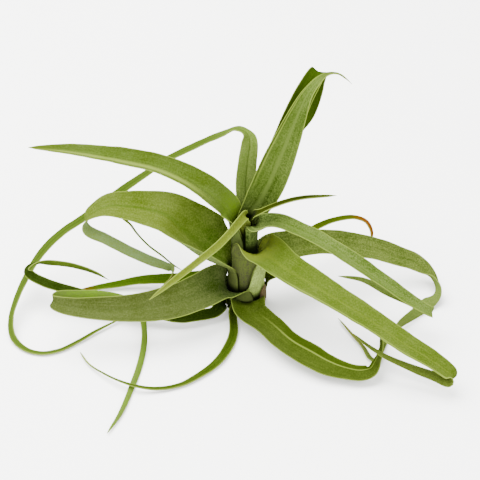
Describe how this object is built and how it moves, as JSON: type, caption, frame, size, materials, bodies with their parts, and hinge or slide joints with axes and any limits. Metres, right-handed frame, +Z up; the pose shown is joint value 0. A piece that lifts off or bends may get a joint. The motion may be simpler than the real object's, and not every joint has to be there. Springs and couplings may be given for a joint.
{
  "type": "curly slim air plant",
  "caption": "Air plant with a slim bulb of clasping leaf bases and long channelled leaves that curl round and back under themselves.",
  "frame": {"origin": "middle of the flat foot of the stem, on the surface the plant stands on", "axes": "+Z up along the stem, -Y towards the front of the plant, +X to its right"},
  "size_m": [0.2156, 0.148, 0.1229],
  "materials": {
    "leaf_olive": "velvety matte, living leaf with a fine silvery bloom",
    "leaf_deep_green": "velvety matte, darker living leaf",
    "leaf_pale_young": "velvety matte, pale young leaf",
    "dry_bract_tan": "papery, dry and dull",
    "stem_woody": "dull, fibrous"
  },
  "bodies": {
    "root": {"stem": "stem_woody", "dry_bract": "dry_bract_tan", "leaf_hanging_front": "leaf_deep_green", "leaf_low_left_loop": "leaf_olive", "leaf_low_back_left": "leaf_deep_green", "leaf_arched_back_right": "leaf_olive", "leaf_low_front_right": "leaf_olive", "leaf_broad_left": "leaf_olive", "leaf_broad_right_back": "leaf_olive", "leaf_back_slim": "leaf_deep_green", "leaf_curl_left": "leaf_olive", "leaf_broad_right_front": "leaf_olive", "leaf_long_upper_left": "leaf_olive", "leaf_long_loop": "leaf_olive", "leaf_tall_back": "leaf_olive", "leaf_right_upper": "leaf_olive", "leaf_tall_front": "leaf_olive", "leaf_young_left": "leaf_pale_young", "leaf_young_right": "leaf_olive"}
  },
  "joints": []
}
